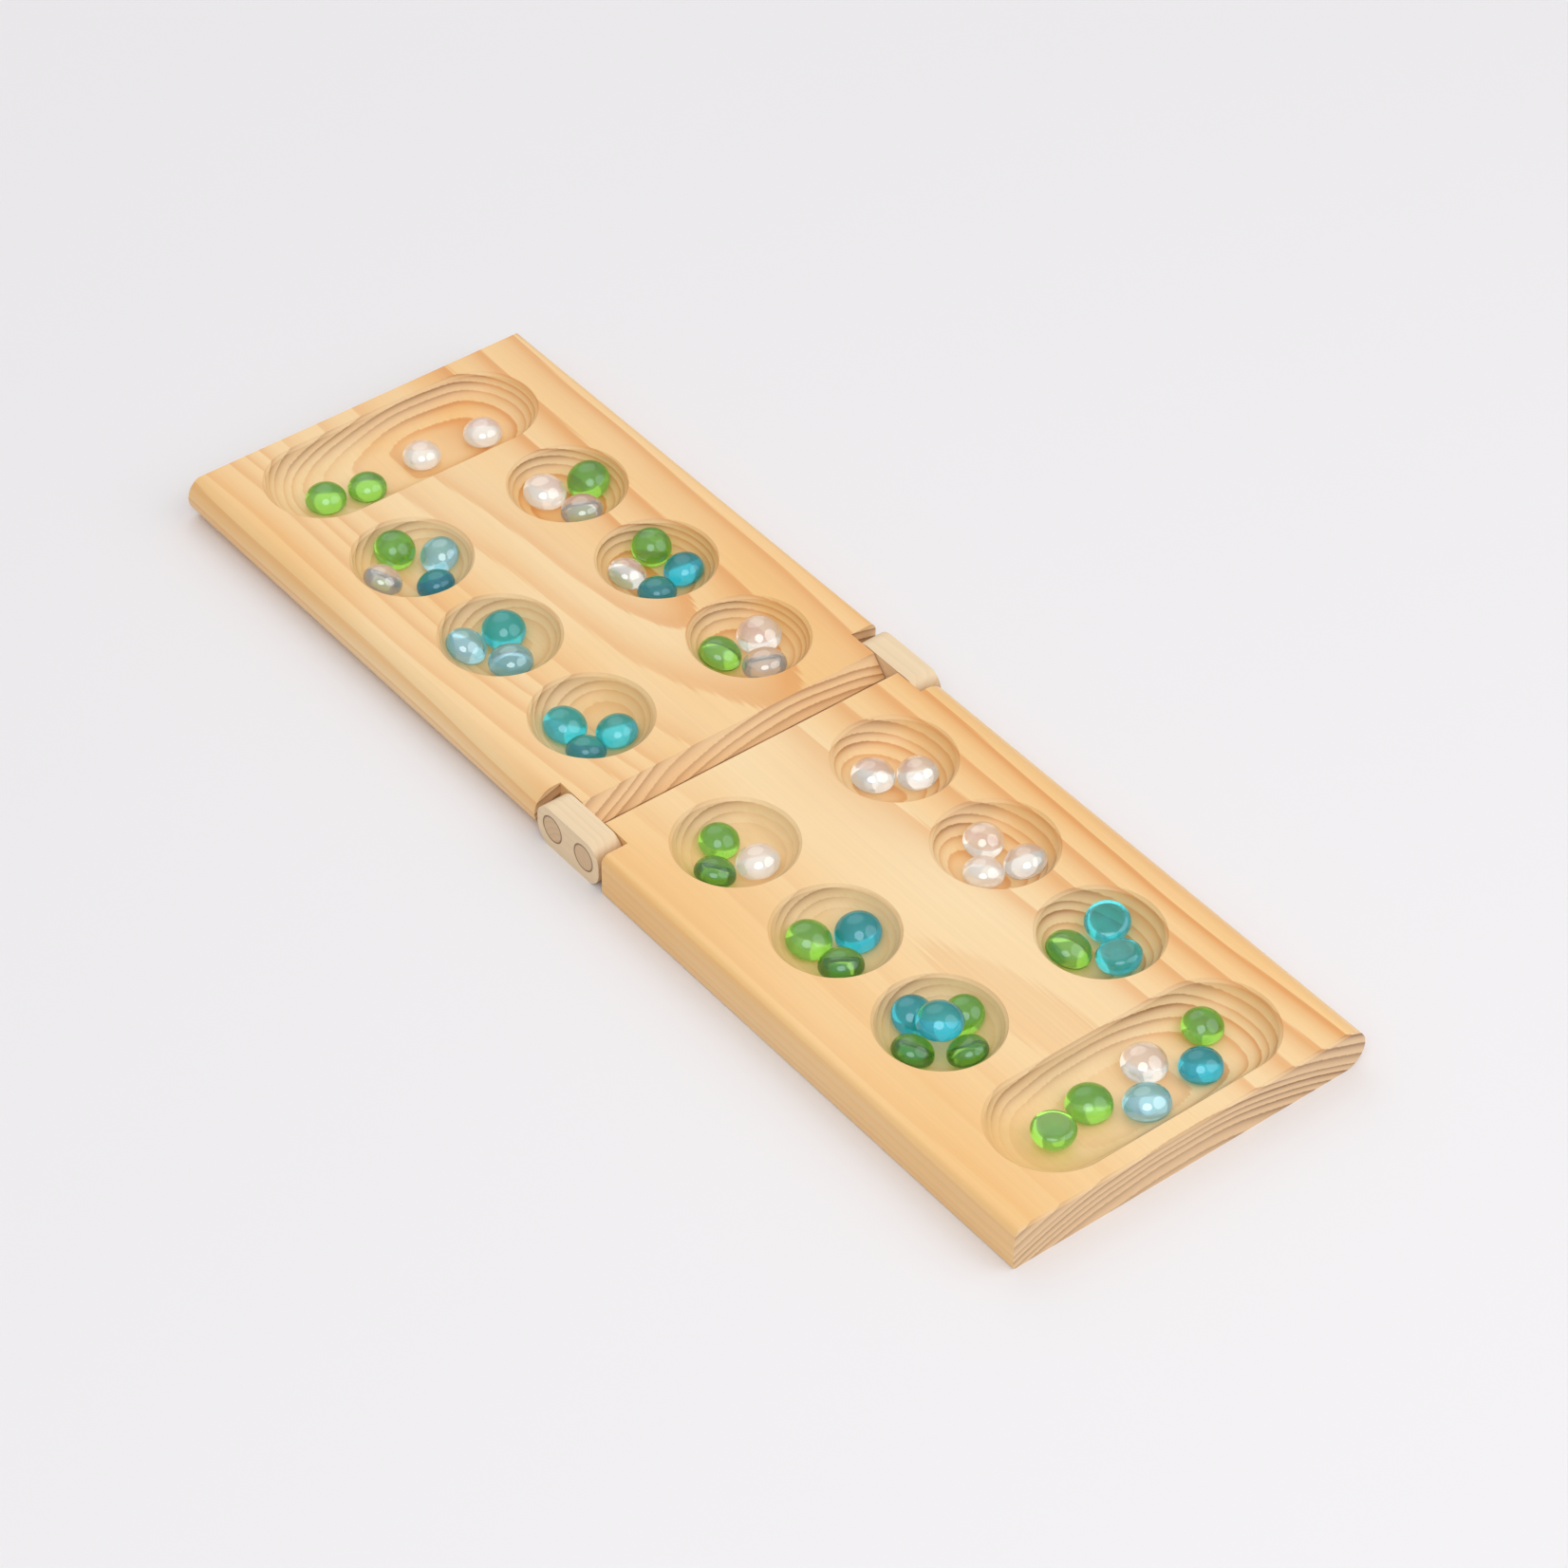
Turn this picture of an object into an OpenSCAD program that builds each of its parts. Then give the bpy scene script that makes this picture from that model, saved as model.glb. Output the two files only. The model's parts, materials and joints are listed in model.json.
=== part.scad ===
// Folding mancala board.
// Two identical wooden halves lie end to end and fold face to face on two double-pivot links.
// Glass gems lie in the twelve round pits and the two oblong stores.
// X runs along the open board from the far store to the near store, Y across it and Z up.
// The origin is the middle of the seam, on the underside.

/* [Board] */
// Length of the open board
board_len = 438; // [430:1:450]
// Width of the board
board_w = 140; // [136:1:150]
// Thickness of the board
board_t = 16; // [15.5:0.5:20]
// Gap between the two halves at the seam
seam_gap = 0.5; // [0.4:0.05:0.8]
// Radius of the upper edge on the square side
upper_edge_r = 3; // [1:0.5:4]
// Radius of the lower edge on the square side
lower_edge_r = 1; // [0.5:0.25:2]
// Chamfer along the top of the outer ends
end_chamfer = 0.8; // [0.4:0.1:1.5]

/* [Pits] */
// Diameter of a pit, and width of a store
pit_d = 41; // [40:0.5:43]
// Depth of the pits and stores
pit_depth = 10; // [9:0.25:10.5]
// Radius of the cove between the flat floor of a pit and its rim
pit_cove_r = 15; // [13:0.5:18]
// Chamfer that eases the rims of the pits and stores
rim_chamfer = 0.6; // [0.3:0.1:1]
// Distance of the first pit's centre from the seam
pit_first = 38; // [37:0.5:40]
// Distance between the pits of a row
pit_pitch = 50.5; // [49:0.5:52]
// Distance of the rows from the middle of the board
row_offset = 32.3; // [30:0.1:35]
// Distance of a store's centre from the last pit's centre
store_step = 52.3; // [50:0.1:54]

/* [Hinge] */
// Distance between the two dowels of a link
dowel_pitch = 16.5; // [16:0.25:18]
// Diameter of the dowels
dowel_d = 10; // [8:0.25:10]
// Length of a dowel
dowel_len = 34; // [28:1:40]
// Radial play of a dowel in its link
dowel_play = 0.08; // [0.02:0.01:0.1]
// Radial thickness of the glue around a dowel in its half
glue_line = 0.05; // [0.02:0.01:0.1]
// Gap between the two playing faces when the board is closed
fold_gap = 1.5; // [1.2:0.1:2.5]
// Width of a link across the board
link_w = 10; // [8:0.5:12]
// Reach of a link past its dowels
link_reach = 8; // [7:0.25:8]
// Radius of a link's four corners
link_corner_r = 6.5; // [5:0.25:6.5]
// Clearance between a link and the walls of its notches
link_clearance = 0.4; // [0.3:0.05:0.6]
// Clearance between the swinging end of a link and the end of its notch
swing_clearance = 0.7; // [0.5:0.1:1.5]
// Width of the bevel along the top of a seam end
bevel_w = 6; // [5.5:0.25:7]
// Height of the bevel's lower edge above the dowels' axes
bevel_rise = 0.8; // [0.4:0.1:1]

/* [Gems] */
// Diameter of the largest gem
gem_d = 15.2; // [12:0.2:16]
// Height of the largest gem
gem_h = 8.6; // [8.4:0.1:9.2]
// Radius of a gem's edge around its flat base
gem_edge_r = 2.6; // [2:0.1:3]
// Radius of a gem's shoulder, between its edge and its dome
gem_shoulder_r = 4.8; // [4:0.1:5.2]
// Size of the smallest gem as a share of the largest
gem_smallest = 0.88; // [0.85:0.01:1]
// Gap between a gem and what it lies on or leans against
gem_gap = 0.05; // [0.02:0.01:0.1]

/* [Hidden] */
$fn = 96;
// Overshoot of every cut past the face that it opens
cut = 1;

pit_r = pit_d / 2;
floor_r = pit_r - sqrt(pow(pit_cove_r, 2) - pow(pit_cove_r - pit_depth, 2));
floor_z = board_t - pit_depth;
store_x = pit_first + 2 * pit_pitch + store_step;
bullnose_r = board_t / 2;

pivot_x = dowel_pitch / 2;
pivot_depth = (dowel_pitch - fold_gap) / 2;
pivot_z = board_t - pivot_depth;
seam_x = seam_gap / 2;
bevel_depth = pivot_depth - bevel_rise;
link_len = dowel_pitch + 2 * link_reach;
// The farthest point of a link's rounded end from its dowel is on the lower corner
link_swing_r = norm([link_reach - link_corner_r, pivot_z - link_corner_r]) + link_corner_r;
notch_x = pivot_x + link_swing_r + swing_clearance;
notch_y = board_w / 2 - link_w - link_clearance;

// A gem's outline has three arcs: edge, shoulder and dome. Each is tangent to the next, but for a hair
// by which the dome is sunk, so that the dome crosses the shoulder and doesn't only touch it.
dome_sink = 0.002;
gem_base_r = gem_d / 2 - gem_edge_r;
shoulder_x = gem_d / 2 - gem_shoulder_r;
crown = gem_h - gem_edge_r - gem_shoulder_r;
dome_drop = (shoulder_x * shoulder_x - crown * crown) / (2 * crown);
dome_r = gem_shoulder_r + crown + dome_drop;
dome_angle = atan2(shoulder_x, dome_drop);
dome_z = gem_edge_r - dome_drop - dome_sink;
shoulder_z = gem_edge_r + gem_shoulder_r * cos(dome_angle);

pine = "burlywood";
link_wood = "wheat";
dowel_wood = "tan";
green = "yellowgreen";
teal = "lightseagreen";
blue = "steelblue";
silver = "lightsteelblue";
clear = "gainsboro";
pearl = "linen";

// A gem that lies in the hollow between the gems of a ring
NEST = -1;
// A gem with its flat base up. What is added to it is the slope of the cove under the gem's dome.
FLIP = 180;
// A gem in a pit: its pit, its colour, the bearing of its place from the pit's centre, and how far its
// outer side is raised by the cove that it leans on, or NEST or FLIP
PIT_GEMS = [
    ["left_1", green, 176, 28],
    ["left_1", silver, 93, 26],
    ["left_1", blue, 8, 25],
    ["left_1", clear, 264, 26],
    ["left_2", silver, 233, 26],
    ["left_2", teal, 138, 15],
    ["left_2", silver, 352, 8],
    ["left_3", teal, 222, 14],
    ["left_3", teal, 46, 11],
    ["left_3", teal, 314, 25],
    ["left_4", green, 178, 13],
    ["left_4", green, 284, 20],
    ["left_4", pearl, 34, 9],
    ["left_5", green, 220, 12],
    ["left_5", blue, 88, 14],
    ["left_5", green, 332, 19],
    ["left_6", blue, 186, 24],
    ["left_6", green, 100, 26],
    ["left_6", green, 12, 24],
    ["left_6", green, 274, 24],
    ["left_6", blue, 0, NEST],
    ["right_1", pearl, 214, 12],
    ["right_1", green, 102, 23],
    ["right_1", clear, 358, 13],
    ["right_2", green, 151, 30],
    ["right_2", clear, 238, 18],
    ["right_2", teal, 324, 19],
    ["right_2", blue, 62, 15],
    ["right_3", green, 248, 18],
    ["right_3", clear, 118, 12],
    ["right_3", clear, 356, 16],
    ["right_4", clear, 242, 7],
    ["right_4", clear, 53, 9],
    ["right_5", clear, 164, 13],
    ["right_5", pearl, 292, 8],
    ["right_5", clear, 38, 18],
    ["right_6", teal, 124, FLIP + 16],
    ["right_6", green, 248, 20],
    ["right_6", teal, 2, FLIP + 14]
];

// A gem in a store: its store, its colour, the place along the store's middle line that it leans out
// from, as a share of the way to the centre of the round end, then bearing and tilt as in a pit.
STORE_GEMS = [
    ["far_store", green, -1, 335, 0],
    ["far_store", green, -0.57, 0, 3],
    ["far_store", pearl, 0.21, 0, 0],
    ["far_store", pearl, 0.95, 0, 2],
    ["near_store", green, -0.97, 0, FLIP],
    ["near_store", green, -0.44, 180, 1],
    ["near_store", silver, -0.02, 0, 9],
    ["near_store", clear, 0.31, 180, 5],
    ["near_store", blue, 0.715, 0, 3],
    ["near_store", green, 1, 162, 8]
];

function gem_count(list, last) = len([for (i = [0 : last]) if (list[i][0] == list[last][0]) i]);
function gem_name(list, i) = str(list[i][0], "_gem_", gem_count(list, i));

// Centre of a pit: the rows are left (-Y) and right (+Y), and 1 to 6 run from the far end to the near end
ROWS = ["left", "right"];
PIT_CENTRES = [
    for (side = [0, 1], number = [1 : 6])
        [str(ROWS[side], "_", number),
         number < 4 ? -pit_first - (3 - number) * pit_pitch : pit_first + (number - 4) * pit_pitch,
         (2 * side - 1) * row_offset]
];
function pit_centre(name) = [for (p = PIT_CENTRES) if (p[0] == name) [p[1], p[2], floor_z]][0];
function store_centre(name) = [(name == "far_store" ? -1 : 1) * store_x, 0, floor_z];

// Distance from the pit's axis, and height above its floor, of the edge circle of a gem that leans out.
// Its inner edge lies on the flat floor or, farther out, on the cove too.
function lean(tilt, size) =
    let (edge = gem_edge_r * size + gem_gap, base = gem_base_r * size, reach = pit_cove_r - edge)
    let (below = max(0, reach - 2 * base * sin(tilt)), arm = sqrt(pow(reach, 2) - pow(base, 2)))
    let (out = floor_r + sqrt(pow(reach, 2) - pow(below, 2)) - base * cos(tilt))
    out - base * cos(tilt) < floor_r ? [out, base * sin(tilt) + edge] :
    [floor_r + arm * sin(tilt), pit_cove_r - arm * cos(tilt)];

// The same for a gem that lies on its dome, at the middle of the floor or on the cove
function lie(slope, size) =
    let (rise = (gem_h - gem_edge_r) * size + gem_gap, arm = pit_cove_r - rise)
    slope == 0 ? [0, rise] : [floor_r + arm * sin(slope), pit_cove_r - arm * cos(slope)];

function seat(tilt, size) = tilt < FLIP ? lean(tilt, size) : lie(tilt - FLIP, size);

// Sizes vary from gem to gem between the smallest and the largest, on a wave with this step
size_step = 314;
function gem_size(i) = gem_smallest + (1 - gem_smallest) * (1 + sin(i * size_step)) / 2;

// The gems of a pit that lie on its floor and its cove
function ring(name) = [
    for (i = [0 : len(PIT_GEMS) - 1])
        if (PIT_GEMS[i][0] == name && PIT_GEMS[i][3] != NEST) i
];

// In a pit that is too small for its gems to lie as listed, all of them climb the cove, each raised by
// as many degrees more, until no two meet
function climbed_seat(i, climb) = seat(PIT_GEMS[i][3] + climb, gem_size(i));
function climbed_centre(i, climb) =
    let (place = climbed_seat(i, climb), bearing = PIT_GEMS[i][2])
    [place[0] * cos(bearing), place[0] * sin(bearing), place[1]];
function space_between(a, b, climb) =
    norm(climbed_centre(a, climb) - climbed_centre(b, climb)) - (gem_size(a) + gem_size(b)) * gem_d / 2;
function has_room(name, climb) =
    min([for (a = ring(name), b = ring(name)) if (a < b) space_between(a, b, climb)]) > gem_gap;
function climb_needed(name) = [for (climb = [0 : 90]) if (has_room(name, climb)) climb][0];

// Height of the edge circle of a flat gem of the largest size that lies on the domes of a ring
function nest_height(name, climb) = max([
    for (i = ring(name))
        let (place = climbed_seat(i, climb), tilt = PIT_GEMS[i][3] + climb, size = gem_size(i))
        let (dome_x = place[0] + dome_drop * size * sin(tilt), reach = dome_r * size + gem_edge_r + gem_gap)
        place[1] - dome_drop * size * cos(tilt) + sqrt(pow(reach, 2) - pow(dome_x - gem_base_r, 2))
]);

// Section of a half: square with rounded corners at -Y, a full round at +Y
module half_section() {
    outer_y = -board_w / 2;
    translate([outer_y + upper_edge_r, lower_edge_r])
        square([board_w - upper_edge_r - bullnose_r, board_t - lower_edge_r]);
    translate([outer_y + lower_edge_r, 0])
        square([board_w - lower_edge_r - bullnose_r, board_t - upper_edge_r]);
    translate([outer_y, lower_edge_r])
        square([board_w / 2, board_t - lower_edge_r - upper_edge_r]);
    translate([outer_y + upper_edge_r, board_t - upper_edge_r])
        circle(upper_edge_r);
    translate([outer_y + lower_edge_r, lower_edge_r])
        circle(lower_edge_r);
    translate([board_w / 2 - bullnose_r, bullnose_r])
        circle(bullnose_r);
}

// One side of the section of a pit, from its axis out, with the floor at 0
module pit_section() {
    square([floor_r, pit_depth + cut]);
    intersection() {
        translate([floor_r, pit_cove_r])
            circle(pit_cove_r);
        square([pit_r, pit_depth + cut]);
    }
    // The chamfer's line starts in the hollow, so that it crosses the cove
    inset = 3 * rim_chamfer;
    translate([pit_r, pit_depth])
        polygon([[-inset, -inset - rim_chamfer], [rim_chamfer + cut, cut], [-inset, cut]]);
}

module pit(turn = 360) {
    rotate_extrude(angle = turn)
        pit_section();
}

// Two half pits and the straight trough between them
module store() {
    translate([0, row_offset, 0])
        pit(180);
    translate([0, -row_offset, 0])
        rotate([0, 0, 180])
            pit(180);
    translate([0, row_offset, 0])
        rotate([90, 0, 0])
            linear_extrude(2 * row_offset) {
                pit_section();
                mirror([1, 0])
                    pit_section();
            }
}

// Cut that bevels the top edge at x, widening away from the half
module edge_cut(x, width, depth, side) {
    translate([x, board_w / 2 + cut, board_t])
        rotate([90, 0, 0])
            linear_extrude(board_w + 2 * cut)
                polygon([
                    [-side * cut, -depth - cut * depth / width],
                    [-side * cut, cut],
                    [side * (width + cut), cut],
                    [side * (width + cut), cut * depth / width]
                ]);
}

module dowel_hole(side) {
    length = dowel_len - link_w - link_clearance;
    translate([pivot_x, side * (notch_y + cut), pivot_z])
        rotate([side * 90, 0, 0])
            cylinder(h = length + cut + glue_line, r = dowel_d / 2 + glue_line);
}

module notch(side) {
    depth = board_w / 2 - notch_y + cut;
    translate([seam_x - cut, side > 0 ? notch_y : -notch_y - depth, -cut])
        cube([notch_x - seam_x + cut, depth, board_t + 2 * cut]);
}

// One half, lying on the near side of the seam
module half_board() {
    difference() {
        translate([seam_x, 0, 0])
            rotate([90, 0, 90])
                linear_extrude(board_len / 2 - seam_x)
                    half_section();
        for (number = [0 : 2], side = [-1, 1])
            translate([pit_first + number * pit_pitch, side * row_offset, floor_z])
                pit();
        translate([store_x, 0, floor_z])
            store();
        edge_cut(seam_x, bevel_w, bevel_depth, 1);
        edge_cut(board_len / 2, end_chamfer, end_chamfer, -1);
        for (side = [-1, 1]) {
            notch(side);
            dowel_hole(side);
        }
    }
}

module near_half() {
    color(pine)
        half_board();
}

module far_half() {
    color(pine)
        rotate([0, 0, 180])
            half_board();
}

// Side view of a link: a bar with four rounded corners, with its lower left corner at the origin
module link_section() {
    translate([link_corner_r, 0])
        square([link_len - 2 * link_corner_r, board_t]);
    translate([0, link_corner_r])
        square([link_len, board_t - 2 * link_corner_r]);
    for (x = [link_corner_r, link_len - link_corner_r], z = [link_corner_r, board_t - link_corner_r])
        translate([x, z])
            circle(link_corner_r);
}

module link(side) {
    color(link_wood)
        difference() {
            translate([-link_len / 2, side > 0 ? board_w / 2 : link_w - board_w / 2, 0])
                rotate([90, 0, 0])
                    linear_extrude(link_w)
                        link_section();
            for (x = [-pivot_x, pivot_x])
                translate([x, side * (board_w / 2 + cut), pivot_z])
                    rotate([side * 90, 0, 0])
                        cylinder(h = link_w + 2 * cut, r = dowel_d / 2 + dowel_play);
        }
}

module left_link() {
    link(-1);
}

module right_link() {
    link(1);
}

// A dowel, flush with the outer face of its link
module dowel(end, side) {
    color(dowel_wood)
        translate([end * pivot_x, side * board_w / 2, pivot_z])
            rotate([side * 90, 0, 0])
                cylinder(h = dowel_len, d = dowel_d);
}

module far_left_dowel() {
    dowel(-1, -1);
}

module far_right_dowel() {
    dowel(-1, 1);
}

module near_left_dowel() {
    dowel(1, -1);
}

module near_right_dowel() {
    dowel(1, 1);
}

// Half the outline of a gem, with its axis at x = 0 and its base at 0
module gem_section() {
    square([gem_base_r, gem_edge_r]);
    translate([0, gem_edge_r])
        square([shoulder_x, shoulder_z - gem_edge_r]);
    intersection() {
        translate([gem_base_r, gem_edge_r])
            circle(gem_edge_r);
        square([gem_d / 2 + cut, gem_edge_r]);
    }
    intersection() {
        translate([shoulder_x, gem_edge_r])
            circle(gem_shoulder_r);
        translate([0, gem_edge_r])
            square([gem_d / 2 + cut, gem_shoulder_r + cut]);
    }
    intersection() {
        translate([0, dome_z])
            circle(dome_r);
        translate([0, shoulder_z])
            square([gem_d / 2, gem_h]);
    }
}

// A gem with its edge circle centred on the origin and its outer side, +X, raised
module gem(tilt, size) {
    rotate([0, -tilt, 0])
        scale(size)
            translate([0, 0, -gem_edge_r])
                rotate_extrude()
                    gem_section();
}

module pit_gem(i) {
    entry = PIT_GEMS[i];
    nested = entry[3] == NEST;
    climb = climb_needed(entry[0]);
    place = nested ? [0, nest_height(entry[0], climb)] : climbed_seat(i, climb);
    color(entry[1])
        translate(pit_centre(entry[0]))
            rotate([0, 0, entry[2]])
                translate([place[0], 0, place[1]])
                    gem(nested ? 0 : entry[3] + climb, nested ? 1 : gem_size(i));
}

module store_gem(i) {
    entry = STORE_GEMS[i];
    place = seat(entry[4], gem_size(i));
    color(entry[1])
        translate(store_centre(entry[0]) + [0, entry[2] * row_offset, 0])
            rotate([0, 0, entry[3]])
                translate([place[0], 0, place[1]])
                    gem(entry[4], gem_size(i));
}

far_half();
near_half();
left_link();
right_link();
far_left_dowel();
far_right_dowel();
near_left_dowel();
near_right_dowel();
for (i = [0 : len(PIT_GEMS) - 1])
    pit_gem(i);
for (i = [0 : len(STORE_GEMS) - 1])
    store_gem(i);
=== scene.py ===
"""Finishes and studio for a folding mancala board: two pine halves on wooden links, with glass gems."""

import json
import math

import bmesh
import bpy
from bpy.props import FloatProperty, FloatVectorProperty, PointerProperty
from mathutils import Matrix, Vector

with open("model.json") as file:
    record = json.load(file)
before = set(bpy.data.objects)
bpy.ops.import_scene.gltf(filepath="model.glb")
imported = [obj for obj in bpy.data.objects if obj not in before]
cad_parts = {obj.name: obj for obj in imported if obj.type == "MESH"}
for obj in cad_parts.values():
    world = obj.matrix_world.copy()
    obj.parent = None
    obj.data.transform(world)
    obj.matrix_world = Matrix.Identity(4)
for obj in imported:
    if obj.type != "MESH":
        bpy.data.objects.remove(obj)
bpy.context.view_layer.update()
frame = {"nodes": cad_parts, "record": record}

bl_info = {
    "name": "Folding mancala board",
    "version": (1, 0, 0),
    "blender": (4, 5, 0),
    "location": "View3D > Sidebar > Mancala",
    "description": "Finishes the wood and glass of a folding mancala board and sets up its studio",
    "category": "Object",
}

MM = 0.001

# Patterns in the wood, in millimetres along the grain and across it
BENDS = (260, 80, 80)
FIBRES = (90, 1.1, 1.1)
DRIFTS = (150, 40, 40)

# Growth of the wood
STRAY = 10 * MM  # full swing of the trunk's bends
WEATHER_PACE = 0.3  # changes of the weather in a year
WEATHER_SWING = 1.1  # how far the weather shifts a ring, in years
FEATHER = 0.18  # how far the fibres feather a ring's edge, in years
VIGOUR = (0.55, 1)  # strength of the faintest and of the strongest ring
SEASONS = ((0.3, 0.08), (0.62, 0.45), (0.86, 1.0), (0.95, 0.95))  # part of the year, darkness

# Where the wood shows what, in pairs: where it begins, and where it is full
FIGURE = (-6 * MM, 34 * MM)  # strong rings, by distance to the right of the middle
WARM_EDGE = (15 * MM, 65 * MM)  # warmer wood, by distance from the middle
WARM_DRIFT = (0.35, 0.65)  # warmer wood, by the noise that drifts through it
END_GRAIN = (0.45, 0.95)  # end grain, by how squarely a face cuts the fibres

FULL_FIGURE = 0.8  # strength of the rings on the figured side
PLAINEST = 0.2  # strength of the rings that counts as plainest
PLAINEST_END = 0.65  # what is left there of the rings in end grain
STREAK_NOISE = (0.25, 0.75)  # the fibre noise from dark to bright
STREAK = (0.96, 1.02)  # brightness of a dark and of a bright fibre

# Varnish on the wood
SHEEN = (-0.06, 0.1)  # what the fibres add to its roughness
RING_RELIEF = 0.6  # relief of the rings as a share of the fibres' relief
RELIEF = 0.06 * MM
RELIEF_STRENGTH = 0.35
VARNISH = {"IOR": 1.5, "Coat Weight": 0.15, "Coat Roughness": 0.25}

# Glass
GLASS_IOR = 1.52
FILM_IOR = 2.0
# The rim's deeper colour is partly painted shade: it stands in for the dark surroundings that the rims of
# real gems reflect
RIM_BLEND = 0.3
RIM_DEPTH = 1.4  # way through the rim, as a multiple of the way through the middle
SHADOW_TINT = 0.45  # how much of the tint the light under a gem takes on
MILK = {"green": 0.08, "teal": 0.14, "blue": 0.14, "silver": 0.1, "clear": 0.1, "pearl": 0.3}
PALE = ("silver", "clear", "pearl")

# Studio: each softbox has a place and a diameter, in metres
KEY_SOFTBOX = ((0.95, 0.75, 1.0), 1.6)
FILL_SOFTBOX = ((-1.0, 0.35, 1.1), 1.5)
FRONT_SOFTBOX = ((0.85, -0.75, 1.45), 1.25)
SENSOR = 36
FAR_CLIP = 20


def linear(code):
    """An sRGB hex colour as linear red, green and blue."""
    shares = [int(code[i:i + 2], 16) / 255 for i in (1, 3, 5)]
    return tuple(s / 12.92 if s <= 0.04045 else ((s + 0.055) / 1.055) ** 2.4 for s in shares)


def colour(name, description, code):
    """A colour property with an sRGB default."""
    return FloatVectorProperty(
        name=name, description=description, subtype="COLOR", size=3, min=0, max=1, default=linear(code)
    )


def length(name, description, millimetres):
    """A length property with a default in millimetres."""
    return FloatProperty(
        name=name, description=description, subtype="DISTANCE", unit="LENGTH", min=0,
        default=millimetres * MM,
    )


def share(name, description, default):
    """A property between 0 and 1."""
    return FloatProperty(
        name=name, description=description, subtype="FACTOR", min=0, max=1, default=default
    )


def angle(name, description, degrees):
    """An angle property with a default in degrees."""
    return FloatProperty(name=name, description=description, subtype="ANGLE", default=math.radians(degrees))


def power(name, description, watts):
    """A property for the power of a lamp."""
    return FloatProperty(name=name, description=description, unit="POWER", min=0, default=watts)


def amount(name, description, default, least=0, most=1000):
    """A property for a plain number."""
    return FloatProperty(name=name, description=description, min=least, max=most, default=default)


class MancalaPine(bpy.types.PropertyGroup):
    """The pine of the two halves"""

    early: colour("Early wood", "Pale spring growth on a face along the grain", "#FADEAE")
    heart: colour("Heart", "Warmer tone that drifts through the spring growth", "#F4BD70")
    late: colour("Late wood", "Orange summer growth on a face along the grain", "#DE8B36")
    end_early: colour("End grain, early", "Spring growth where the fibres are cut across", "#EFCA9B")
    end_late: colour("End grain, late", "Summer growth where the fibres are cut across", "#8C5627")
    far_ring: length("Far ring width", "Growth of one year in the far half", 2.5)
    near_ring: length("Near ring width", "Growth of one year in the near half", 3.3)
    far_plain: share("Far plain side", "Strength of the far half's rings on its plain side", 0.4)
    near_plain: share("Near plain side", "Strength of the near half's rings on its plain side", 0.2)
    roughness: share("Varnish roughness", "Roughness of the satin varnish", 0.38)


class MancalaLinkWood(bpy.types.PropertyGroup):
    """The paler wood of the links and dowels"""

    early: colour("Early wood", "Pale growth on a face along the grain", "#F4DDBC")
    heart: colour("Heart", "Warmer tone that drifts through the pale growth", "#EFD2A8")
    late: colour("Late wood", "Darker growth on a face along the grain", "#EACFA8")
    end_early: colour("End grain, early", "Pale growth where the fibres are cut across", "#DCBA91")
    end_late: colour("End grain, late", "Darker growth where the fibres are cut across", "#D3B186")
    # Painted shade: this colour and the rim width paint the shadow in the gap between a dowel and its bore,
    # as a dark ring on the dowel's end
    stain: colour("Rubbed rim", "Dark rim of a dowel's end, where the link rubs it", "#6F4A28")
    rim: length("Rim width", "Width of the rubbed rim", 0.9)
    ring: length("Ring width", "Growth of one year", 1.9)
    roughness: share("Roughness", "Roughness of the sanded wood", 0.5)


class MancalaGlass(bpy.types.PropertyGroup):
    """The glass of the gems"""

    green: colour("Green", "Leaf green glass", "#9AD251")
    teal: colour("Teal", "Sea blue glass", "#50CBCF")
    blue: colour("Blue", "Deep blue glass", "#39BFCE")
    silver: colour("Silver", "Pale blue glass", "#A9DEEA")
    clear: colour("Clear", "Colourless glass", "#F1EDE7")
    pearl: colour("Pearl", "Milky white glass", "#F8F2EA")
    roughness: share("Roughness", "Roughness of the fire-polished glass", 0.06)
    film: amount("Silvery film", "Film on the coloured gems, in nanometres", 25)
    lustre: amount("Bright film", "Film on the pale gems, in nanometres", 60)


class MancalaStudio(bpy.types.PropertyGroup):
    """The floor, lights and camera"""

    floor: colour("Floor", "Colour of the paper floor", "#EFEDEF")
    floor_size: length("Floor size", "Side of the square floor", 8000)
    sky: amount("Sky", "Strength of the soft light from straight above", 0.8)
    horizon: amount("Horizon", "Strength of the soft light from the sides", 0.34)
    key: power("Key light", "Power of the right softbox", 6)
    fill: power("Fill light", "Power of the left softbox", 3)
    front: power("Front light", "Power of the front softbox", 7.5)
    lens: amount("Lens", "Focal length in millimetres on a 36 mm sensor", 112.99, least=10)
    azimuth: angle("Azimuth", "Camera's bearing from +X", -38.8235)
    elevation: angle("Elevation", "Camera's height angle", 42.2794)
    roll: angle("Roll", "Turn of the picture", 0.8839)
    distance: length("Distance", "Camera's distance from the point that it looks at", 1570.17)
    target: FloatVectorProperty(
        name="Target", description="Point that the camera looks at", subtype="XYZ", unit="LENGTH", size=3,
        default=(26.10 * MM, -3.44 * MM, 16 * MM),
    )


def add(tree, kind, inputs=None, **settings):
    """A new node with its settings. Each input is given a value, or linked to a socket."""
    made = tree.nodes.new("ShaderNode" + kind)
    for key, value in settings.items():
        setattr(made, key, value)
    for key, value in (inputs or {}).items():
        if isinstance(value, bpy.types.NodeSocket):
            tree.links.new(value, made.inputs[key])
        else:
            made.inputs[key].default_value = value
    return made


def maths(tree, operation, *values, **settings):
    """The result of a sum on numbers."""
    return add(tree, "Math", dict(enumerate(values)), operation=operation, **settings).outputs[0]


def vectors(tree, operation, *values):
    """The result of a sum on vectors, where it is a vector itself."""
    return add(tree, "VectorMath", dict(enumerate(values)), operation=operation).outputs[0]


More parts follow.
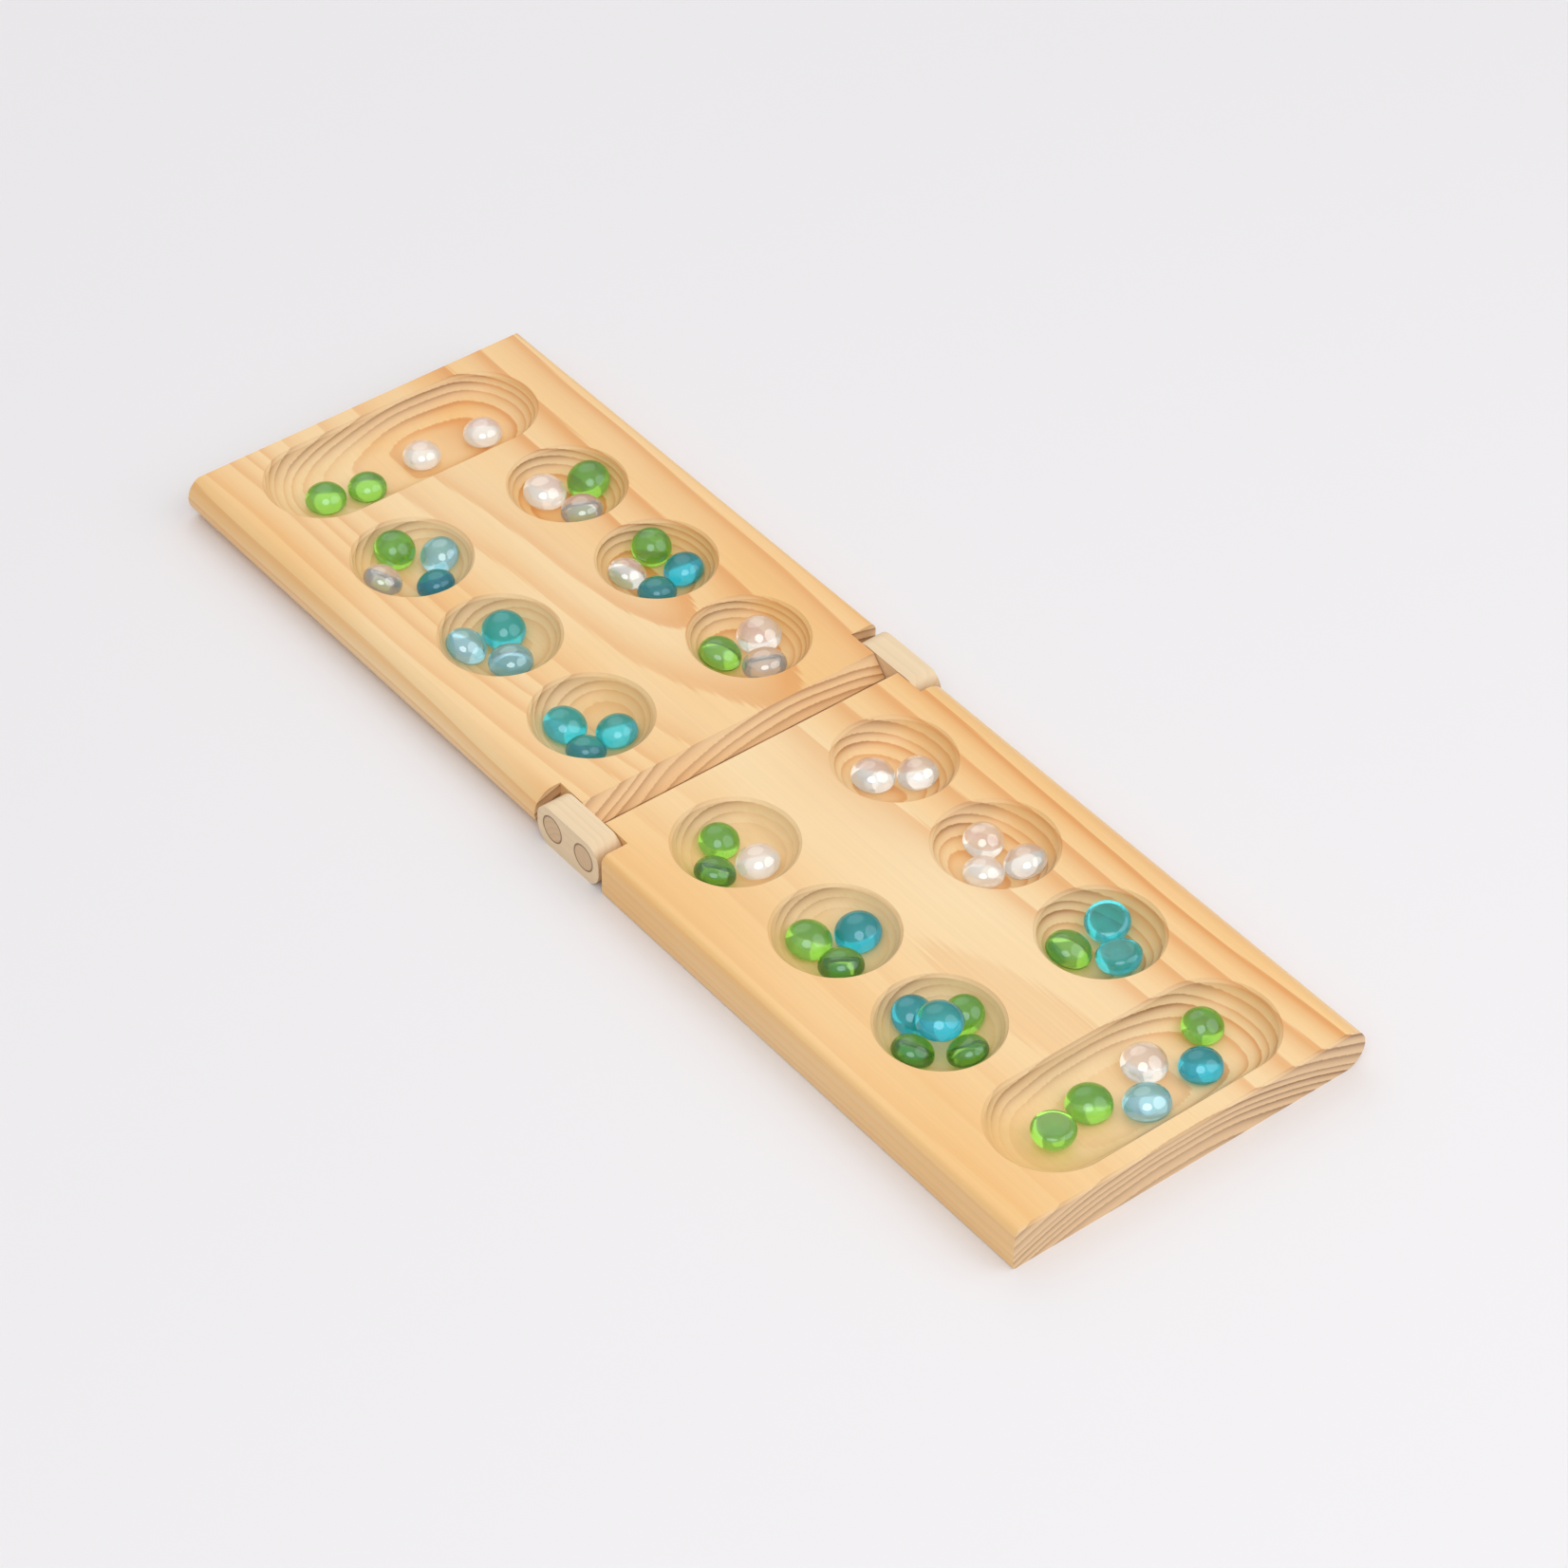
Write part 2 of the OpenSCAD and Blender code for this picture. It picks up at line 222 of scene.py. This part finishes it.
def remap(tree, value, source=(0, 1), target=(0, 1), curve="LINEAR"):
    """A value carried from one range to another and held at its ends."""
    return add(
        tree, "MapRange", dict(enumerate((value, *source, *target))), interpolation_type=curve
    ).outputs[0]


def blend(tree, part, first, second):
    """A mix of two colours, each a socket, or red, green and blue."""
    first, second = (end if isinstance(end, bpy.types.NodeSocket) else (*end, 1) for end in (first, second))
    return add(tree, "Mix", {0: part, 6: first, 7: second}, data_type="RGBA").outputs[2]


def noise(tree, place, sizes, detail):
    """The outputs of a noise whose features have these sizes in millimetres along X, Y and Z."""
    scale = tuple(1 / (size * MM) for size in sizes)
    place = add(tree, "Mapping", {"Vector": place, "Scale": scale}).outputs[0]
    return add(tree, "TexNoise", {"Vector": place, "Scale": 1, "Detail": detail}).outputs


def off_axis(tree, place, across):
    """Distance from an axis through the origin, with a 1 for each direction across the axis."""
    flat = vectors(tree, "MULTIPLY", place, across)
    return add(tree, "VectorMath", {0: flat}, operation="LENGTH").outputs["Value"]


def new_material(name):
    """A node material, with its tree and its Principled shader."""
    material = bpy.data.materials.new(name)
    material.use_nodes = True
    return material, material.node_tree, material.node_tree.nodes["Principled BSDF"]


def set_sockets(shader, values):
    """Sets what is the same all over a surface."""
    for key, value in values.items():
        shader.inputs[key].default_value = value


def dress(node, material):
    """Gives a node of the frame one material."""
    slots = frame["nodes"][node].data.materials
    slots.clear()
    slots.append(material)


def sawn_wood(name, wood, ring, pith, lean=(0, 0, 0), turn=0, warmth=(0, 1, 0), plain=1):
    """Softwood sawn from a log that lies along X, or is turned about Z, with its pith through a point.

    Warmth is the least and the most of the heart's tone, then what the edges of the board add to it. Plain
    is the strength of the rings on the plain side. The rings are solid, so a pit or an end cuts them as it
    would in the log. Early wood is pale and darkens into late wood, which ends sharply at the next spring's
    growth. Cut fibres drink the varnish and go darker.
    """
    material, tree, shader = new_material(name)
    coords = add(tree, "TexCoord").outputs
    grain = add(tree, "Mapping", {"Vector": coords["Object"], "Rotation": (0, 0, -turn)}).outputs[0]

    # The trunk isn't straight: its pith wanders by some millimetres over a hand's width
    bends = noise(tree, grain, BENDS, detail=1.5)["Color"]
    bends = vectors(tree, "SUBTRACT", bends, (0.5, 0.5, 0.5))
    bent = vectors(tree, "MULTIPLY_ADD", bends, (STRAY, STRAY, STRAY), grain)
    inputs = {"Vector": bent, "Location": pith, "Rotation": lean}
    log = add(tree, "Mapping", inputs, vector_type="TEXTURE").outputs[0]
    radius = off_axis(tree, log, (0, 1, 1))

    # Fibres: streaks about a millimetre wide and a finger long
    fibre = noise(tree, grain, FIBRES, detail=3)["Fac"]

    # Good and bad years make wide and narrow rings, some of them faint, and the fibres feather their edges
    years = maths(tree, "MULTIPLY", radius, 1 / ring)
    inputs = {"W": years, "Scale": WEATHER_PACE, "Detail": 1}
    weather = add(tree, "TexNoise", inputs, noise_dimensions="1D").outputs["Fac"]
    years = maths(tree, "MULTIPLY_ADD", weather, WEATHER_SWING, years)
    years = maths(tree, "MULTIPLY_ADD", fibre, FEATHER, years)
    season = maths(tree, "FRACT", years)
    year = maths(tree, "FLOOR", years)
    vigour = add(tree, "TexWhiteNoise", {"W": year}, noise_dimensions="1D").outputs["Value"]
    vigour = remap(tree, vigour, target=VIGOUR)
    ramp = add(tree, "ValToRGB", {"Fac": season})
    for part, dark in SEASONS:
        ramp.color_ramp.elements.new(part).color = (dark, dark, dark, 1)
    ramp.color_ramp.elements[-1].color = (0, 0, 0, 1)
    band = maths(tree, "MULTIPLY", ramp.outputs["Color"], vigour)

    # The rings fade towards the left, where the tree grew evenly, and less in end grain than on a face
    side = add(tree, "SeparateXYZ", {0: grain}).outputs["Y"]
    figure = remap(tree, side, FIGURE, (plain, FULL_FIGURE), "SMOOTHSTEP")
    face_band = maths(tree, "MULTIPLY", band, figure)
    kept = remap(tree, figure, (PLAINEST, FULL_FIGURE), (PLAINEST_END, 1))
    end_band = maths(tree, "MULTIPLY", band, kept)

    # Warmer wood drifts through the pale wood, and there is more of it towards the long edges
    edge = remap(tree, maths(tree, "ABSOLUTE", side), WARM_EDGE)
    drift = noise(tree, grain, DRIFTS, detail=2)["Fac"]
    drift = remap(tree, drift, WARM_DRIFT, warmth[:2])
    drift = maths(tree, "MULTIPLY_ADD", edge, warmth[2], drift, use_clamp=True)

    # Where a face cuts the fibres across, it shows end grain
    inputs = {"Vector": coords["Normal"], "Angle": -turn}
    facing = add(tree, "VectorRotate", inputs, rotation_type="Z_AXIS").outputs[0]
    facing = add(tree, "SeparateXYZ", {0: facing}).outputs["X"]
    cut = remap(tree, maths(tree, "ABSOLUTE", facing), END_GRAIN, curve="SMOOTHSTEP")

    pale = blend(tree, drift, wood.early, wood.heart)
    face = blend(tree, face_band, pale, wood.late)
    end = blend(tree, end_band, wood.end_early, wood.end_late)
    shade = blend(tree, cut, face, end)
    streak = remap(tree, fibre, STREAK_NOISE, STREAK)
    shade = add(tree, "VectorMath", {0: shade, "Scale": streak}, operation="SCALE").outputs[0]
    tree.links.new(shade, shader.inputs["Base Color"])

    # A satin sheen that the fibres break up, over a relief that is just felt
    rough = remap(tree, fibre, target=[wood.roughness + change for change in SHEEN])
    tree.links.new(rough, shader.inputs["Roughness"])
    height = maths(tree, "MULTIPLY_ADD", band, RING_RELIEF, fibre)
    inputs = {"Height": height, "Strength": RELIEF_STRENGTH, "Distance": RELIEF}
    tree.links.new(add(tree, "Bump", inputs).outputs[0], shader.inputs["Normal"])
    set_sockets(shader, VARNISH)
    return material


class MANCALA_OT_halves(bpy.types.Operator):
    """Gives the two halves their varnished pine"""

    bl_idname = "mancala.halves"
    bl_label = "Finish the halves"

    def execute(self, context):
        wood = context.scene.mancala_pine
        far = sawn_wood(
            "far_pine", wood, wood.far_ring, pith=(0, 20 * MM, -190 * MM),
            lean=(0, math.radians(1), 0), warmth=(0.2, 0.75, 0.1), plain=wood.far_plain,
        )
        near = sawn_wood(
            "near_pine", wood, wood.near_ring, pith=(0, -8 * MM, -151 * MM),
            lean=(0, math.radians(-0.25), math.radians(0.5)), warmth=(0, 0.3, 0.5), plain=wood.near_plain,
        )
        dress("far_half", far)
        dress("near_half", near)
        return {"FINISHED"}


def painted_gap_shade(material, dowel, stain, width):
    """Paints shade on the rim of a dowel's end: the shadow in the gap between the dowel and the link's
    bore.
    """
    tree = material.node_tree
    corners = [Vector(corner) for corner in frame["nodes"][dowel].bound_box]
    middle = sum(corners, Vector()) / len(corners)
    radius = max(corner.x for corner in corners) - middle.x

    coords = add(tree, "TexCoord").outputs
    away = off_axis(tree, vectors(tree, "SUBTRACT", coords["Object"], middle), (1, 0, 1))
    rim = remap(tree, away, (radius - width, radius), curve="SMOOTHSTEP")
    end = add(tree, "SeparateXYZ", {0: coords["Normal"]}).outputs["Y"]
    # Painted shade of the gap, only on the faces that cut the dowel across
    dark = maths(tree, "MULTIPLY", rim, maths(tree, "ABSOLUTE", end))

    base = tree.nodes["Principled BSDF"].inputs["Base Color"]
    tree.links.new(blend(tree, dark, base.links[0].from_socket, stain), base)


class MANCALA_OT_links(bpy.types.Operator):
    """Gives the links and dowels their plain sanded wood"""

    bl_idname = "mancala.links"
    bl_label = "Finish the links and dowels"

    def execute(self, context):
        wood = context.scene.mancala_link_wood
        links = sawn_wood("link_wood", wood, wood.ring, pith=(0, 150 * MM, -120 * MM))
        sides = ("left", "right")
        for side in sides:
            dress(side + "_link", links)

        # The two dowels of a half lie on one axis, so they share a material
        pith = (12 * MM, 0, -5 * MM)
        for half in ("far", "near"):
            dowels = sawn_wood(half + "_dowel_wood", wood, wood.ring, pith, turn=math.pi / 2)
            # Paints the shadow in the gap between each dowel and its bore onto the dowel's ends
            painted_gap_shade(dowels, half + "_left_dowel", wood.stain, wood.rim)
            for side in sides:
                dress(f"{half}_{side}_dowel", dowels)
        return {"FINISHED"}


def lustred_glass(name, tint, milk, film, roughness):
    """Fire-polished glass with a metal oxide film, which brightens its reflections.

    Milk is the share of the light that the glass scatters instead of letting it through.
    """
    material, tree, shader = new_material(name)
    set_sockets(shader, {
        "Roughness": roughness,
        "IOR": GLASS_IOR,
        "Transmission Weight": 1 - milk,
        "Thin Film Thickness": film,
        "Thin Film IOR": FILM_IOR,
    })

    # Sight through the rim takes a longer way through the glass, so the colour is deeper there. The deeper
    # rim is also painted shade, standing in for the dark surroundings that the rims of real gems reflect.
    rim = add(tree, "LayerWeight", {"Blend": RIM_BLEND}).outputs["Facing"]
    deep_rim_shade = [part ** RIM_DEPTH for part in tint]
    tree.links.new(blend(tree, rim, tint, deep_rim_shade), shader.inputs["Base Color"])

    # Light from the lamps goes straight through to the wood and takes on some of the tint
    lamps = add(tree, "LightPath").outputs["Is Shadow Ray"]
    glow = [1 - SHADOW_TINT * (1 - part) for part in tint]
    through = add(tree, "BsdfTransparent", {"Color": (*glow, 1)}).outputs[0]
    both = add(tree, "MixShader", {0: lamps, 1: shader.outputs[0], 2: through}).outputs[0]
    tree.links.new(both, tree.nodes["Material Output"].inputs["Surface"])
    return material


class MANCALA_OT_gems(bpy.types.Operator):
    """Gives the gems their coloured glass"""

    bl_idname = "mancala.gems"
    bl_label = "Finish the gems"

    def execute(self, context):
        glass = context.scene.mancala_glass
        made = {}
        for shade, milk in MILK.items():
            film = glass.lustre if shade in PALE else glass.film
            made[shade] = lustred_glass(
                shade + "_glass", getattr(glass, shade), milk, film, glass.roughness
            )
        for part in frame["record"]["subparts"]:
            shade = part["material_slot"].removesuffix("_glass")
            if shade in made:
                dress(part["node"], made[shade])
        return {"FINISHED"}


def paper_floor(studio):
    """A square of matt paper: plain and pale, with hardly any sheen."""
    mesh = bmesh.new()
    bmesh.ops.create_grid(mesh, x_segments=1, y_segments=1, size=studio.floor_size / 2)
    floor_mesh = bpy.data.meshes.new("floor")
    mesh.to_mesh(floor_mesh)
    mesh.free()
    paper, _, shader = new_material("floor_paper")
    set_sockets(shader, {"Base Color": (*studio.floor, 1), "Roughness": 0.8, "Specular IOR Level": 0.1})
    floor_mesh.materials.append(paper)
    return bpy.data.objects.new("floor", floor_mesh)


def soft_sky(studio):
    """A white world that is brightest straight above."""
    world = bpy.data.worlds.new("studio")
    world.use_nodes = True
    tree = world.node_tree
    height = add(tree, "TexCoord").outputs["Generated"]
    height = add(tree, "SeparateXYZ", {0: height}).outputs["Z"]
    back = tree.nodes["Background"]
    tree.links.new(remap(tree, height, target=(studio.horizon, studio.sky)), back.inputs["Strength"])
    back.inputs["Color"].default_value = (1, 1, 1, 1)
    return world


def softbox(name, place, size, watts):
    """A round area light that points at the origin."""
    data = bpy.data.lights.new(name, "AREA")
    data.shape = "DISK"
    data.size = size
    data.energy = watts
    lamp = bpy.data.objects.new(name, data)
    lamp.location = place
    lamp.rotation_euler = (-Vector(place)).to_track_quat("-Z", "Y").to_euler()
    return lamp


def aimed_camera(studio):
    """A camera that looks at the target from its distance, bearing and height."""
    turn, rise = studio.azimuth, studio.elevation
    away = Vector((math.cos(rise) * math.cos(turn), math.cos(rise) * math.sin(turn), math.sin(rise)))
    right = Vector((0, 0, 1)).cross(away).normalized()
    up = away.cross(right)
    c, s = math.cos(studio.roll), math.sin(studio.roll)
    right, up = c * right + s * up, c * up - s * right
    data = bpy.data.cameras.new("camera")
    data.sensor_width = SENSOR
    data.lens = studio.lens
    data.clip_end = FAR_CLIP
    camera = bpy.data.objects.new("camera", data)
    place = Vector(studio.target) + studio.distance * away
    stance = Matrix((right, up, away)).transposed().to_quaternion()
    camera.matrix_world = Matrix.LocRotScale(place, stance, None)
    return camera


class MANCALA_OT_studio(bpy.types.Operator):
    """Builds the floor, the lights and the camera"""

    bl_idname = "mancala.studio"
    bl_label = "Set up the studio"

    def execute(self, context):
        scene, studio = context.scene, context.scene.mancala_studio
        scene.view_settings.view_transform = "Standard"
        floor = paper_floor(studio)
        scene.collection.objects.link(floor)
        scene.world = soft_sky(studio)
        for lamp in (
            softbox("key_softbox", *KEY_SOFTBOX, studio.key),
            softbox("fill_softbox", *FILL_SOFTBOX, studio.fill),
            softbox("front_softbox", *FRONT_SOFTBOX, studio.front),
        ):
            scene.collection.objects.link(lamp)
        camera = aimed_camera(studio)
        scene.collection.objects.link(camera)
        scene.camera = camera
        return {"FINISHED"}


class MANCALA_PT_panel(bpy.types.Panel):
    """Lists the steps and settings of the board"""

    bl_idname = "MANCALA_PT_panel"
    bl_label = "Folding mancala board"
    bl_space_type = "VIEW_3D"
    bl_region_type = "UI"
    bl_category = "Mancala"

    def draw(self, context):
        for operator, settings in STEPS:
            box = self.layout.box()
            box.operator(operator.bl_idname)
            group = getattr(context.scene, settings)
            for key in type(group).__annotations__:
                box.prop(group, key)


STEPS = (
    (MANCALA_OT_halves, "mancala_pine"),
    (MANCALA_OT_links, "mancala_link_wood"),
    (MANCALA_OT_gems, "mancala_glass"),
    (MANCALA_OT_studio, "mancala_studio"),
)
SETTINGS = {
    "mancala_pine": MancalaPine,
    "mancala_link_wood": MancalaLinkWood,
    "mancala_glass": MancalaGlass,
    "mancala_studio": MancalaStudio,
}
CLASSES = (*SETTINGS.values(), *(operator for operator, _ in STEPS), MANCALA_PT_panel)


def register():
    for cls in CLASSES:
        bpy.utils.register_class(cls)
    for key, group in SETTINGS.items():
        setattr(bpy.types.Scene, key, PointerProperty(type=group))


def unregister():
    for key in SETTINGS:
        delattr(bpy.types.Scene, key)
    for cls in reversed(CLASSES):
        bpy.utils.unregister_class(cls)


def main():
    register()
    bpy.ops.mancala.halves()
    bpy.ops.mancala.links()
    bpy.ops.mancala.gems()
    bpy.ops.mancala.studio()


if __name__ == "__main__":
    main()
